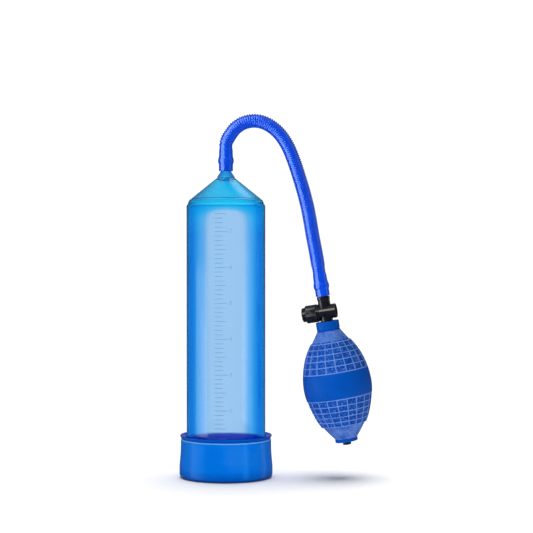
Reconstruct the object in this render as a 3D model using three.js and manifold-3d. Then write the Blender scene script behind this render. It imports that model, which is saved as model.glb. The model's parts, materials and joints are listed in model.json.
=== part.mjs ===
// Hand vacuum pump: a clear cylinder with a conical top in a soft base sleeve, a corrugated hose,
// and a squeeze bulb with two check valves and a push-button release valve.
// Millimetres, +Z up. The cylinder stands on z = 0, and the bulb hangs from the hose on its +X side.
import * as THREE from 'three';
import { mergeVertices } from 'three/addons/utils/BufferGeometryUtils.js';
import Module from 'manifold-3d';

const wasm = await Module();
wasm.setup();

// ---- Driving dimensions ----

const GAP = 0.3; // between pieces that touch
const FINE = 40; // facets round the large pieces
const MEDIUM = 32;
const COARSE = 24;

// The cylinder, with an outside diameter of 2 1/4 inch.
const CYLINDER_X = -35.8; // its axis; x = 0 is the middle of the footprint of sleeve and bulb
const TUBE = { radius: 28.6, wall: 2.4, foot: 4.6, top: 196.4 };
const SHOULDER = { step: 27.4, stepTop: 198.4, radius: 26.7, top: 200.9 };
const CONE = { radius: 6.9, top: 216.7, wall: 2.6, hole: 3.6 };
const LIP = { depth: 1.5, wall: 1.3 }; // the cone cap's part inside the tube
const NOZZLE = { base: 6.5, rim: 0.6, neck: 4.1, neckFoot: 221, neckTop: 221.7 };
const NOZZLE_SPIGOT = { shank: 3.3, bore: 1.6, top: 235 };

// The two barbs of a hose spigot: how far each starts below the spigot's top, and its size.
const BARB = { starts: [9, 4], height: 0.35, step: 0.2, length: 3 };

// The soft sleeve that the cylinder stands in.
const SLEEVE = { radius: 33.8, belly: 33.4, waist: 32.5, height: 30.8, floor: 4.3, mouth: 17, corner: 6.6 };
const RIM = { radius: 33.2, foot: 28, thick: 2.2, round: 0.6 }; // the bead round the sleeve's top
const MOUTH_CHAMFER = 1.2;

// The hose and the moulded cuffs at its ends.
const HOSE = { radius: 5.2, bore: 3.6, sides: 12, steps: 32 };
const CUFF = { radius: 5.05, bore: 3.95, length: 17.8 };
const BULGE = { radius: 5.6, foot: 5.2, top: 10.5, slope: 0.7 }; // the thick ring on each cuff
const UPPER_CUFF_FOOT = 222;

// The bulb's axis leans back towards the cylinder; t is the distance up it from the tail.
const LEAN = THREE.MathUtils.degToRad(9.33);
const TAIL = new THREE.Vector3(CYLINDER_X + 87.3, 0, 28.5);
const BULB = { wall: 2.4, bore: 4.6, steps: 15 };
const NECK = { radius: 8.45, top: 85.7, boreFoot: 75 };
const FLANGE = { radius: 8.2, foot: -2.6, top: -0.2, boreTop: 6.2 };
const BORE_TAPER = 2.5; // from each bore out to the bulb's wall

// The release valve: its cross axis meets the bulb's axis at t = VALVE_T, and u runs along it.
const VALVE_T = 92.6;
const VALVE_YAW = THREE.MathUtils.degToRad(12);
const VALVE = { radius: 5.2, right: 8, flange: 6.2, flangeLeft: -5.6, spigotLeft: -9, spigotRadius: 4 };
const STEM = { radius: 4.7, top: 104, shank: 3.25, shankTop: 117 };
const SPIGOT = { radius: 4.2, foot: 70, chamber: 3.1, seat: 79 };
const PASSAGE = 1.6;
const SEAT = { face: 3.6, hole: 1.6 }; // the release valve's seat, on the vent side
const VENT = 3.4;
const GLAND = { radius: 2.4, depth: 2.4 };
const CAP = { radius: 6.5, left: -14.3, right: -5.9, recess: 5.5, recessFoot: -10.5, partition: 1.2 };
const BUTTON = { left: -17.3, disc: 5.2, discRight: -15, skirt: 4.3, skirtRight: -13, bore: 3.4 };
const BOSS = { wall: 1, height: 1.4, depth: 0.8 }; // inside the button, round the plunger's end
const PLUNGER = { radius: 1, headLeft: 4.85, headRight: 5.6, head: 2.7 };
const PLUNGER_SEAL = { u: 4.22, major: 2.05, minor: 0.5 };
const STEM_SEAL = { u: -7.7, major: 1.65, minor: 0.55 };
const SPRING = { radius: 2.5, wire: 0.2, turns: 4, stepsPerTurn: 14, left: -15.05, right: -10.75 };

// The check valves: a loose rubber disc between a seat and a cage.
const DISC = { radius: 2.6, thick: 0.8 };
const INLET_DISC_FOOT = 76.9;
const EXHAUST_DISC_FOOT = 1.8;
const CAGE_BORE = 1.5;
const NOTCH = { width: 1, depth: 0.8 };
const STUB = { radius: 3, foot: -5 };
const EXHAUST = { radius: 4.3, foot: -0.2, top: 8, port: 1.2, floor: 1, seatFoot: 3.8, seatHole: 1.4 };
const RIB = { length: 1.6, width: 0.8, top: 1.5, centre: 2.4 }; // on the exhaust chamber's floor

// ---- Materials ----

const plastic = (color, roughness, opacity = 1) =>
  new THREE.MeshStandardMaterial({ color, roughness, metalness: 0, opacity, transparent: opacity < 1 });
const clearBlue = plastic(0x4aa3e8, 0.12, 0.45);
const sleeveBlue = plastic(0x0a5fc8, 0.4);
const hoseBlue = plastic(0x0f49e6, 0.3);
const bulbBlue = plastic(0x1f55c0, 0.55);
const blackPlastic = plastic(0x121216, 0.35);
const blackRubber = plastic(0x0c0c0c, 0.7);
const springSteel = new THREE.MeshStandardMaterial({ color: 0xb9bcc0, roughness: 0.3, metalness: 1 });

// ---- Solids ----

// A closed geometry as a manifold-3d solid.
function solidOf(geometry) {
  const bare = geometry.index ? geometry.toNonIndexed() : geometry.clone();
  bare.deleteAttribute('normal');
  bare.deleteAttribute('uv');
  const merged = mergeVertices(bare, 1e-4);
  return new wasm.Manifold(
    new wasm.Mesh({
      numProp: 3,
      vertProperties: merged.attributes.position.array,
      triVerts: new Uint32Array(merged.index.array),
    }),
  );
}

// A manifold-3d solid as a geometry.
function geometryOf(solid) {
  const { numProp, numVert, vertProperties, triVerts } = solid.getMesh();
  const positions = new Float32Array(numVert * 3);
  for (let i = 0; i < numVert; i++) {
    positions.set(vertProperties.subarray(i * numProp, i * numProp + 3), i * 3);
  }
  const geometry = new THREE.BufferGeometry();
  geometry.setAttribute('position', new THREE.BufferAttribute(positions, 3));
  geometry.setIndex(new THREE.BufferAttribute(triVerts, 1));
  geometry.computeVertexNormals();
  return geometry;
}

// A closed outline of [radius, height] points turned about +Z. It runs up the outside and down the inside.
function turned(outline, segments = COARSE) {
  const points = outline.map(([radius, height]) => new THREE.Vector2(radius, height));
  points.push(points[0].clone());
  return new THREE.LatheGeometry(points, segments).rotateX(Math.PI / 2);
}

// A ring or, with an inner radius of 0, a cylinder about +Z.
function ring(inner, outer, low, high, segments = COARSE) {
  const outline = [
    [inner, low],
    [outer, low],
    [outer, high],
    [inner, high],
  ];
  return turned(outline, segments);
}

// Turns a geometry made about +Z so that it runs along +X.
const alongX = (geometry) => geometry.rotateY(Math.PI / 2);

// [radius, height] points along an arc, from the angle `from` to the angle `to` in degrees.
function arc(centre, radius, from, to, steps = 4) {
  return Array.from({ length: steps + 1 }, (_, i) => {
    const angle = THREE.MathUtils.degToRad(from + ((to - from) * i) / steps);
    return [centre[0] + radius * Math.cos(angle), centre[1] + radius * Math.sin(angle)];
  });
}

function piece(name, shape, material) {
  const geometry = shape.isBufferGeometry ? shape : geometryOf(shape);
  const mesh = new THREE.Mesh(geometry, material);
  mesh.name = name;
  return mesh;
}

// ---- Cylinder ----

function cylinderTube() {
  const { radius, wall, foot, top } = TUBE;
  return piece('cylinder_tube', ring(radius - wall, radius, foot, top, FINE), clearBlue);
}

// The moulded cap glued onto the tube's top: a lip, a stepped shoulder and a cone with a hole.
function coneCap() {
  const seat = TUBE.top + GAP;
  const lip = TUBE.radius - TUBE.wall - GAP;
  const inside = lip - LIP.wall;
  const ceiling = CONE.top - CONE.wall;
  const outline = [
    [inside, seat - LIP.depth],
    [lip, seat - LIP.depth],
    [lip, seat],
    [TUBE.radius, seat],
    [SHOULDER.step, SHOULDER.stepTop],
    [SHOULDER.radius, SHOULDER.top],
    [CONE.radius, CONE.top],
    [CONE.hole, CONE.top],
    [CONE.hole, ceiling],
    [CONE.radius - 1, ceiling],
    [inside, SHOULDER.top - CONE.wall / 2],
  ];
  return piece('cone_cap', turned(outline, FINE), clearBlue);
}

// The outside of a hose spigot's barbs, up to its tapered end.
function barbs(shank, top) {
  const rings = BARB.starts.flatMap((start) => [
    [shank, top - start],
    [shank + BARB.height, top - start + BARB.step],
    [shank, top - start + BARB.length],
  ]);
  return [...rings, [shank - BARB.height, top]];
}

// The barbed fitting that the hose pushes onto, glued into the cone's hole.
function hoseNozzle() {
  const { base, rim, neck, neckFoot, neckTop } = NOZZLE;
  const { shank, bore, top } = NOZZLE_SPIGOT;
  const seat = CONE.top + GAP;
  const foot = CONE.top - CONE.wall;
  const outline = [
    [bore, foot],
    [shank, foot],
    [shank, seat],
    [base, seat],
    [base, seat + rim],
    [neck, neckFoot],
    [neck, neckTop],
    [shank, neckTop],
    ...barbs(shank, top),
    [bore, top],
  ];
  return piece('hose_nozzle', turned(outline), clearBlue);
}

// ---- Base sleeve ----

function baseSleeve() {
  const { radius, belly, waist, height, floor, mouth, corner } = SLEEVE;
  const socket = TUBE.radius + GAP;
  const outline = [
    [mouth + MOUTH_CHAMFER, 0],
    ...arc([radius - corner, corner], corner, -90, 0),
    [belly, height * 0.45],
    [waist, height * 0.8],
    [waist, RIM.foot],
    [RIM.radius, RIM.foot + RIM.round],
    [RIM.radius, RIM.foot + RIM.thick],
    [RIM.radius - RIM.round, height],
    [socket + RIM.round, height],
    [socket, height - RIM.round],
    [socket, floor],
    [mouth + MOUTH_CHAMFER, floor],
    [mouth, floor - MOUTH_CHAMFER],
    [mouth, MOUTH_CHAMFER],
  ];
  return piece('base_sleeve', turned(outline, FINE), sleeveBlue);
}

// ---- Hose ----

// A cuff from its open foot, which pushes onto the barbs, up to where the hose begins.
function cuff(name, foot) {
  const { radius, bore, length } = CUFF;
  const outline = [
    [bore, foot],
    [radius, foot],
    [radius, foot + BULGE.foot],
    [BULGE.radius, foot + BULGE.foot + BULGE.slope],
    [BULGE.radius, foot + BULGE.top - BULGE.slope],
    [radius, foot + BULGE.top],
    [radius, foot + length],
    [bore, foot + length],
  ];
  return piece(name, turned(outline), hoseBlue);
}

// The hose's centreline: [x from the cylinder's axis, z], from the upper cuff over the arch to the lower one.
const HOSE_ROUTE = [
  [0, 240.1],
  [0, 241.6],
  [1, 244.4],
  [3.3, 248.3],
  [6.9, 252.9],
  [11.9, 256.3],
  [17.6, 258],
  [23.4, 258],
  [29, 256.3],
  [34.1, 253.2],
  [38.5, 249.2],
  [42, 244.6],
  [45, 239.4],
  [47.4, 234],
  [50.5, 225.6],
  [53.7, 215.6],
  [56.6, 205.8],
  [59.2, 195.4],
  [61.2, 184.8],
  [63.1, 173.8],
  [65.2, 163],
  [67.5, 149.3],
];

function hose() {
  const points = HOSE_ROUTE.map(([x, z]) => new THREE.Vector3(CYLINDER_X + x, 0, z));
  const section = new THREE.Shape().absarc(0, 0, HOSE.radius, 0, 2 * Math.PI);
  section.holes.push(new THREE.Path().absarc(0, 0, HOSE.bore, 0, 2 * Math.PI, true));
  const geometry = new THREE.ExtrudeGeometry(section, {
    extrudePath: new THREE.CatmullRomCurve3(points),
    steps: HOSE.steps,
    curveSegments: HOSE.sides / 2, // each counts for two sides of a circle
  });
  return piece('hose', geometry, hoseBlue);
}

// ---- Squeeze bulb, in the frame of the bulb's axis: z is t ----

// The bulb's outside from tail to neck: [radius, t].
const BULB_CURVE = new THREE.SplineCurve(
  [
    [8.7, 0],
    [13.6, 6.5],
    [18, 13.5],
    [21.7, 23.5],
    [24, 34],
    [24.1, 43],
    [22.5, 53],
    [19.1, 62.5],
    [14.1, 71],
    [8.5, 79.5],
  ].map(([radius, t]) => new THREE.Vector2(radius, t)),
);

function squeezeBulb() {
  const { wall, bore, steps } = BULB;
  const outside = BULB_CURVE.getPoints(steps).map((p) => [p.x, p.y]);
  const inside = outside
    .map(([radius, t]) => [radius - wall, t])
    .filter(([, t]) => t > FLANGE.boreTop + BORE_TAPER && t < NECK.boreFoot - BORE_TAPER)
    .reverse();
  const outline = [
    [STUB.radius + GAP, FLANGE.foot],
    [FLANGE.radius, FLANGE.foot],
    [FLANGE.radius, FLANGE.top],
    ...outside,
    [NECK.radius, NECK.top],
    [bore, NECK.top],
    [bore, NECK.boreFoot],
    ...inside,
    [bore, FLANGE.boreTop],
    [bore, EXHAUST.foot - GAP],
    [STUB.radius + GAP, EXHAUST.foot - GAP],
  ];
  return piece('squeeze_bulb', turned(outline, FINE), bulbBlue);
}

// ---- Release valve, in the frame of the cross axis: x is u, z is t ----

// The body: hose barb and stem above, spigot into the bulb's neck below, and the cross cylinder.
function valveBody() {
  const upright = [
    [0, SPIGOT.foot],
    [SPIGOT.radius, SPIGOT.foot],
    [SPIGOT.radius, VALVE_T],
    [STEM.radius, VALVE_T],
    [STEM.radius, STEM.top],
    [STEM.shank, STEM.top],
    ...barbs(STEM.shank, STEM.shankTop),
    [0, STEM.shankTop],
  ];
  const cross = [
    [0, VALVE.spigotLeft],
    [VALVE.spigotRadius, VALVE.spigotLeft],
    [VALVE.spigotRadius, VALVE.flangeLeft],
    [VALVE.flange, VALVE.flangeLeft],
    [VALVE.flange, VALVE.flangeLeft + 1],
    [VALVE.radius, VALVE.flangeLeft + 1],
    [VALVE.radius, VALVE.right - 0.5],
    [VALVE.radius - 0.5, VALVE.right],
    [0, VALVE.right],
  ];
  // One bore from the gland on the left, past the passage, to the vent on the right.
  const crossBore = [
    [0, VALVE.spigotLeft - 1],
    [GLAND.radius, VALVE.spigotLeft - 1],
    [GLAND.radius, VALVE.spigotLeft + GLAND.depth],
    [SEAT.hole, VALVE.spigotLeft + GLAND.depth],
    [SEAT.hole, SEAT.face],
    [VENT, SEAT.face],
    [VENT, VALVE.right + 1],
    [0, VALVE.right + 1],
  ];
  const atValve = (outline) => solidOf(alongX(turned(outline)).translate(0, 0, VALVE_T));
  const passage = ring(0, PASSAGE, SPIGOT.foot + 1, STEM.shankTop + 1);
  const chamber = ring(0, SPIGOT.chamber, SPIGOT.foot - 1, SPIGOT.seat);
  const body = solidOf(turned(upright))
    .add(atValve(cross))
    .subtract(atValve(crossBore))
    .subtract(solidOf(passage))
    .subtract(solidOf(chamber));
  return piece('valve_body', body, blackPlastic);
}

// A turned piece on the valve's cross axis.
function onValveAxis(name, outline, material, segments = COARSE) {
  const mesh = piece(name, alongX(turned(outline, segments)), material);
  mesh.position.z = VALVE_T;
  return mesh;
}

// The knurled cap screws over the body's left spigot and guides the button.
function valveCap() {
  const { radius, left, right, recess, recessFoot, partition } = CAP;
  const socket = VALVE.spigotRadius + GAP;
  const outline = [
    [PLUNGER.radius + GAP, recessFoot],
    [recess, recessFoot],
    [recess, left],
    [radius - 0.5, left],
    [radius, left + 0.5],
    [radius, right],
    [socket, right],
    [socket, recessFoot + partition],
    [PLUNGER.radius + GAP, recessFoot + partition],
  ];
  return onValveAxis('valve_cap', outline, blackPlastic, MEDIUM);
}

// The button: a disc with a hollow skirt that holds the spring.
function releaseButton() {
  const { left, disc, discRight, skirt, skirtRight, bore } = BUTTON;
  const floor = discRight - GAP;
  const outline = [
    [0, left],
    [disc - 0.5, left],
    [disc, left + 0.5],
    [disc, discRight],
    [skirt, discRight],
    [skirt, skirtRight],
    [bore, skirtRight],
    [bore, floor],
    [PLUNGER.radius + BOSS.wall, floor],
    [PLUNGER.radius + BOSS.wall, floor + BOSS.height],
    [PLUNGER.radius + GAP / 2, floor + BOSS.height],
    [PLUNGER.radius + GAP / 2, floor - BOSS.depth],
    [0, floor - BOSS.depth],
  ];
  return onValveAxis('release_button', outline, blackPlastic, MEDIUM);
}

// The rod from the button to the sealing head on the vent side.
function valvePlunger() {
  const { radius, headLeft, headRight, head } = PLUNGER;
  const start = BUTTON.discRight - GAP - BOSS.depth + GAP / 2;
  const outline = [
    [0, start],
    [radius, start],
    [radius, headLeft],
    [head, headLeft],
    [head, headRight],
    [0, headRight],
  ];
  return onValveAxis('valve_plunger', outline, blackPlastic);
}

// An O-ring about the cross axis, centred at u.
function oRing(name, { u, major, minor }) {
  const section = arc([major, u], minor, 0, 360, 8).slice(0, -1);
  return onValveAxis(name, section, blackRubber);
}

class Helix extends THREE.Curve {
  constructor(radius, turns, start, end) {
    super();
    Object.assign(this, { radius, turns, start, end });
  }

  getPoint(s) {
    const angle = 2 * Math.PI * this.turns * s;
    const along = this.start + (this.end - this.start) * s;
    return new THREE.Vector3(along, this.radius * Math.cos(angle), this.radius * Math.sin(angle));
  }
}

function buttonSpring() {
  const { radius, wire, turns, stepsPerTurn, left, right } = SPRING;
  const geometry = new THREE.ExtrudeGeometry(new THREE.Shape().absarc(0, 0, wire, 0, 2 * Math.PI), {
    extrudePath: new Helix(radius, turns, left + wire, right - wire),
    steps: turns * stepsPerTurn,
    curveSegments: 3,
  });
  const mesh = piece('button_spring', geometry, springSteel);
  mesh.position.z = VALVE_T;
  return mesh;
}

// ---- Check valves, in the frame of the bulb's axis ----

// A disc that seals upwards against its seat and drops onto the cage below it.
function checkDisc(name, foot) {
  return piece(name, ring(0, DISC.radius, foot, foot + DISC.thick), blackRubber);
}

// Four notches across the top of a tube, so that air passes a disc that lies on it.
function notched(tube, top, reach) {
  const cutters = [0, Math.PI / 2].map((angle) => {
    const box = new THREE.BoxGeometry(2 * reach, NOTCH.width, 2 * NOTCH.depth);
    return solidOf(box.rotateZ(angle).translate(0, 0, top));
  });
  return cutters.reduce((solid, cutter) => solid.subtract(cutter), solidOf(tube));
}

function inletCage() {
  const outer = SPIGOT.chamber - GAP;
  const top = INLET_DISC_FOOT - GAP;
  const tube = ring(CAGE_BORE, outer, SPIGOT.foot, top);
  return piece('inlet_cage', notched(tube, top, outer + 1), blackPlastic);
}

// The tail valve's shell: its stub shows below the bulb, and its chamber's floor holds the disc on ribs.
function exhaustValveBody() {
  const { radius, foot, top, port, floor } = EXHAUST;
  const outline = [
    [port, STUB.foot],
    [STUB.radius, STUB.foot],
    [STUB.radius, foot],
    [radius, foot],
    [radius, top],
    [SPIGOT.chamber, top],
    [SPIGOT.chamber, floor],
    [port, floor],
  ];
  // Each rib starts GAP below the floor, so that it joins it.
  const ribHeight = RIB.top - floor + GAP;
  const ribs = [0, 1, 2, 3].map((i) => {
    const rib = new THREE.BoxGeometry(RIB.length, RIB.width, ribHeight);
    return solidOf(rib.translate(RIB.centre, 0, RIB.top - ribHeight / 2).rotateZ((i * Math.PI) / 2));
  });
  const body = ribs.reduce((solid, rib) => solid.add(rib), solidOf(turned(outline)));
  return piece('exhaust_valve_body', body, blackPlastic);
}

function exhaustSeat() {
  const { seatFoot, seatHole, top } = EXHAUST;
  return piece('exhaust_seat', ring(seatHole, SPIGOT.chamber - GAP, seatFoot, top), blackPlastic);
}

// ---- Assembly ----

const pump = new THREE.Group();

const cylinder = new THREE.Group();
cylinder.position.x = CYLINDER_X;
cylinder.add(cylinderTube(), coneCap(), hoseNozzle(), baseSleeve(), cuff('hose_cuff_upper', UPPER_CUFF_FOOT));

const head = new THREE.Group();
head.position.copy(TAIL);
head.rotation.y = -LEAN;
head.add(squeezeBulb(), cuff('hose_cuff_lower', STEM.top + GAP));
head.add(checkDisc('inlet_disc', INLET_DISC_FOOT), inletCage());
head.add(checkDisc('exhaust_disc', EXHAUST_DISC_FOOT), exhaustValveBody(), exhaustSeat());

const valve = new THREE.Group();
valve.rotation.z = -VALVE_YAW;
valve.add(valveBody(), valveCap(), releaseButton(), valvePlunger(), buttonSpring());
valve.add(oRing('plunger_seal', PLUNGER_SEAL), oRing('stem_seal', STEM_SEAL));
head.add(valve);

pump.add(cylinder, hose(), head);

export default pump;
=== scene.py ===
import itertools
import json
import math

import bpy
from mathutils import Matrix, Vector

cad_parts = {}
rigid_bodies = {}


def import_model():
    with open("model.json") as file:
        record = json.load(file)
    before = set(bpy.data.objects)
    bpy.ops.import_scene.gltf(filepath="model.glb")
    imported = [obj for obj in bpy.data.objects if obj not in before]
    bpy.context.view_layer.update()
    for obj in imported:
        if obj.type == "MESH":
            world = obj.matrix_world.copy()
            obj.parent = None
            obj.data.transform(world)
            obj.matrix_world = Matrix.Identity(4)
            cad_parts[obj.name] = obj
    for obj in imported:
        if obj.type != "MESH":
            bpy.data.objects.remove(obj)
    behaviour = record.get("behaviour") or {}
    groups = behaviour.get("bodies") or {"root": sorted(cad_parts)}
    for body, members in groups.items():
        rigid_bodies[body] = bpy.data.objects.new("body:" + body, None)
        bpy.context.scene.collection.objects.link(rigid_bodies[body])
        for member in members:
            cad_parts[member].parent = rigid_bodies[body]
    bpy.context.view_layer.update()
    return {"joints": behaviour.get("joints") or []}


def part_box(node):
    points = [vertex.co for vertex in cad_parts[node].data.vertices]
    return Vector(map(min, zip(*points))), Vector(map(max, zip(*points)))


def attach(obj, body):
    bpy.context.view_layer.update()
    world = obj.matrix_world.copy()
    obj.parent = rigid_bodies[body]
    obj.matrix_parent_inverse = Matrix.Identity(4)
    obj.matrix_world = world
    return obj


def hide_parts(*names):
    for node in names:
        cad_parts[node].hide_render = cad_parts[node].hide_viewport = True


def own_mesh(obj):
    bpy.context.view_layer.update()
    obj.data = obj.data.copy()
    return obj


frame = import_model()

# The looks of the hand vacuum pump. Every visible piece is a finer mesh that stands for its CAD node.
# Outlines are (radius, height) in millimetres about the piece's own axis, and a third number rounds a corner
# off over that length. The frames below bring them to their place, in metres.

scene = bpy.context.scene

# ---- Frames ----

MM = 0.001
VALVE_T = 92.6  # where the release valve's cross axis meets the bulb's axis, above the tail
LOWER_CUFF_FOOT = 104.3
UPPER_CUFF_FOOT = 222
UNMOVED = Matrix.Identity(4)  # for points that are in place already, or are brought there later


def axis_frame(origin, axis, side):
    """The matrix from millimetres, with Z along axis and X towards side, to the row frame in metres."""
    z = Vector(axis).normalized()
    y = z.cross(Vector(side)).normalized()
    turn = Matrix((y.cross(z), y, z)).transposed().to_4x4()
    return Matrix.Translation(origin) @ turn @ Matrix.Scale(MM, 4)


joints = {joint["name"]: joint for joint in frame["joints"]}
tube_low, tube_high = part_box("cylinder_tube")
cylinder_x = (tube_low.x + tube_high.x) / 2
bulb_axis = Vector(joints["bulb_swivel"]["axis"])
tail = Vector(joints["bulb_swivel"]["pos_m"]) - LOWER_CUFF_FOOT * MM * bulb_axis

CYLINDER = axis_frame((cylinder_x, 0, 0), (0, 0, 1), (1, 0, 0))
BULB = axis_frame(tail, bulb_axis, (1, 0, 0))
VALVE = axis_frame(tail + VALVE_T * MM * bulb_axis, joints["button_press"]["axis"], bulb_axis)

# ---- Camera ----

CAMERA_AT = (-0.0064, -1.13, 0.1676)
CAMERA_TARGET = (-0.0064, 0, 0.1528)
LENS = 105.2


def add_camera():
    """A camera at the photograph's viewing angle."""
    camera = bpy.data.objects.new("camera", bpy.data.cameras.new("camera"))
    camera.data.lens = LENS
    camera.data.clip_start = 0.05
    camera.location = CAMERA_AT
    direction = Vector(CAMERA_TARGET) - Vector(CAMERA_AT)
    camera.rotation_euler = direction.to_track_quat("-Z", "Y").to_euler()
    scene.collection.objects.link(camera)
    scene.camera = camera


add_camera()

# ---- Mesh helpers ----


def skin(rings, closed=True):
    """The points and faces of a surface through rings, each a loop of points or one point as a pole."""
    starts = [0, *itertools.accumulate(len(ring) for ring in rings)]
    sides = max(len(ring) for ring in rings)
    faces = []
    for a in range(len(rings) if closed else len(rings) - 1):
        b = (a + 1) % len(rings)
        for side in range(sides):
            corners = [(a, side), (a, side + 1), (b, side + 1), (b, side)]
            face = dict.fromkeys(starts[ring] + step % len(rings[ring]) for ring, step in corners)
            if len(face) > 2:
                faces.append(list(face))
    return [point for ring in rings for point in ring], faces


def smooth(mesh, crease=32):
    """Shades a mesh smooth but for edges sharper than crease degrees."""
    mesh.shade_smooth()
    mesh.set_sharp_from_angle(angle=math.radians(crease))


def placed(name, points, faces, place):
    """An object with a mesh of the points, brought to its place, and the faces."""
    mesh = bpy.data.meshes.new(name)
    mesh.from_pydata([place @ Vector(point) for point in points], [], faces)
    obj = bpy.data.objects.new(name, mesh)
    scene.collection.objects.link(obj)
    return obj


def shape(name, rings, place, closed=True, crease=32):
    """An object with the skin of the rings, smooth but for edges sharper than crease degrees."""
    obj = placed(name, *skin(rings, closed), place)
    smooth(obj.data, crease)
    return obj


def mark(obj, name, values):
    """Gives each point of an object a value that its material reads by that name."""
    obj.data.attributes.new(name, "FLOAT", "POINT").data.foreach_set("value", values)


def rounded(corners, steps=5):
    """An outline through the corners, with those rounded off that have a third number."""
    outline = []
    for index, (radius, height, *rounding) in enumerate(corners):
        corner = Vector((radius, height))
        if not rounding:
            outline.append((radius, height))
            continue
        before = Vector(corners[index - 1][:2])
        after = Vector(corners[(index + 1) % len(corners)][:2])
        start = corner + (before - corner).normalized() * rounding[0]
        end = corner + (after - corner).normalized() * rounding[0]
        for step in range(steps + 1):
            s = step / steps
            outline.append(tuple(start.lerp(corner, s).lerp(corner.lerp(end, s), s)))
    return outline


def turned(outline, segments, fluting=None):
    """Rings of a closed outline turned about Z. It runs up the outside and down the inside."""
    rings = []
    for radius, height in outline:
        if radius == 0:
            rings.append([(0, 0, height)])
            continue
        ring = []
        for step in range(segments):
            angle = 2 * math.pi * step / segments
            reach = radius + (fluting(angle, radius, height) if fluting else 0)
            ring.append((reach * math.cos(angle), reach * math.sin(angle), height))
        rings.append(ring)
    return rings


def catmull(points, steps):
    """A smooth curve through the points, as a list with that many steps from each to the next."""
    points = [Vector(point) for point in points]
    first = 2 * points[0] - points[1]
    last = 2 * points[-1] - points[-2]
    curve = []
    for p0, p1, p2, p3 in zip([first, *points], points, points[1:], [*points[2:], last]):
        for step in range(steps):
            s = step / steps
            bend = (2 * p0 - 5 * p1 + 4 * p2 - p3) * s * s + (3 * p1 - p0 - 3 * p2 + p3) * s**3
            curve.append(p1 + ((p2 - p0) * s + bend) / 2)
    return [*curve, points[-1]]


def evenly(points, count):
    """That many points at even distances along a polyline."""
    lengths = [(b - a).length for a, b in zip(points, points[1:])]
    total = sum(lengths)
    spaced = []
    span = 0
    passed = 0
    for index in range(count):
        wanted = total * index / (count - 1)
        while span < len(lengths) - 1 and passed + lengths[span] < wanted:
            passed += lengths[span]
            span += 1
        spaced.append(points[span].lerp(points[span + 1], (wanted - passed) / lengths[span]))
    return spaced


def combined(base, others, operation):
    """The base object's mesh joined with or cut by the others, which are used up."""
    for other in others:
        modifier = base.modifiers.new(other.name, "BOOLEAN")
        modifier.operation = operation
        modifier.solver = "EXACT"
        modifier.object = other
    seen = base.evaluated_get(bpy.context.evaluated_depsgraph_get())
    mesh = bpy.data.meshes.new_from_object(seen)
    base.modifiers.clear()
    base.data = mesh
    for other in others:
        bpy.data.objects.remove(other)
    return base


def tube_rings(centres, radius_at, sides):
    """Rings about a line of points in the XZ plane, in metres.

    radius_at gives the radius in millimetres at an index and a side: 1 inside a bend, -1 outside it."""
    level = Vector((0, 1, 0))
    rings = []
    for index, centre in enumerate(centres):
        ahead = centres[min(index + 1, len(centres) - 1)]
        behind = centres[max(index - 1, 0)]
        tangent = (ahead - behind).normalized()
        across = level.cross(tangent)
        ring = []
        for step in range(sides):
            angle = 2 * math.pi * step / sides
            reach = radius_at(index, math.cos(angle)) * MM
            ring.append(centre + reach * (math.cos(angle) * across + math.sin(angle) * level))
        rings.append(ring)
    return rings


# ---- Material helpers ----


def srgb(red, green, blue):
    """A colour given as on a screen, from 0 to 255, as the linear colour that a shader takes."""
    parts = [value / 255 for value in (red, green, blue)]
    linear = [part / 12.92 if part <= 0.04045 else ((part + 0.055) / 1.055) ** 2.4 for part in parts]
    return (*linear, 1)


def add_node(tree, kind, inputs=None, **settings):
    """A node with its settings, and its inputs set to values or linked from sockets."""
    node = tree.nodes.new(kind)
    for name, value in settings.items():
        setattr(node, name, value)
    for name, value in (inputs or {}).items():
        if isinstance(value, bpy.types.NodeSocket):
            tree.links.new(value, node.inputs[name])
        else:
            node.inputs[name].default_value = value
    return node


def noise(tree, size, detail=3.0):
    """Noise with features about size metres across, fixed to the piece."""
    place = add_node(tree, "ShaderNodeTexCoord").outputs["Object"]
    inputs = {"Vector": place, "Scale": 1 / size, "Detail": detail}
    return add_node(tree, "ShaderNodeTexNoise", inputs).outputs["Fac"]


def height_of(tree):
    """The height in metres of a point on a piece."""
    place = add_node(tree, "ShaderNodeTexCoord").outputs["Object"]
    return add_node(tree, "ShaderNodeSeparateXYZ", {"Vector": place}).outputs["Z"]


def marked(tree, name):
    """The value that the mesh's points carry by that name, or 0 where they carry none."""
    return add_node(tree, "ShaderNodeAttribute", attribute_name=name).outputs["Fac"]


def ranged(tree, value, low, high, start=0.3, end=0.7):
    """The value brought from start and end, between which noise mostly lies, to low and high."""
    inputs = {"Value": value, "From Min": start, "From Max": end, "To Min": low, "To Max": high}
    return add_node(tree, "ShaderNodeMapRange", inputs).outputs["Result"]


def calculated(tree, operation, first, second):
    """Two values added, multiplied or compared."""
    return add_node(tree, "ShaderNodeMath", {0: first, 1: second}, operation=operation).outputs[0]


def ramped(tree, value, *stops):
    """The colour at value along a ramp of (position, colour) stops."""
    node = add_node(tree, "ShaderNodeValToRGB", {"Fac": value})
    elements = node.color_ramp.elements
    while len(elements) < len(stops):
        elements.new(0.5)
    for element, (position, colour) in zip(elements, stops):
        element.position = position
        element.color = colour
    return node.outputs["Color"]


def relief(tree, height, depth, strength=1.0):
    """A bump normal from a height of 0 to 1 that stands for depth metres."""
    inputs = {"Height": height, "Distance": depth, "Strength": strength}
    return add_node(tree, "ShaderNodeBump", inputs).outputs["Normal"]


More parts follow.
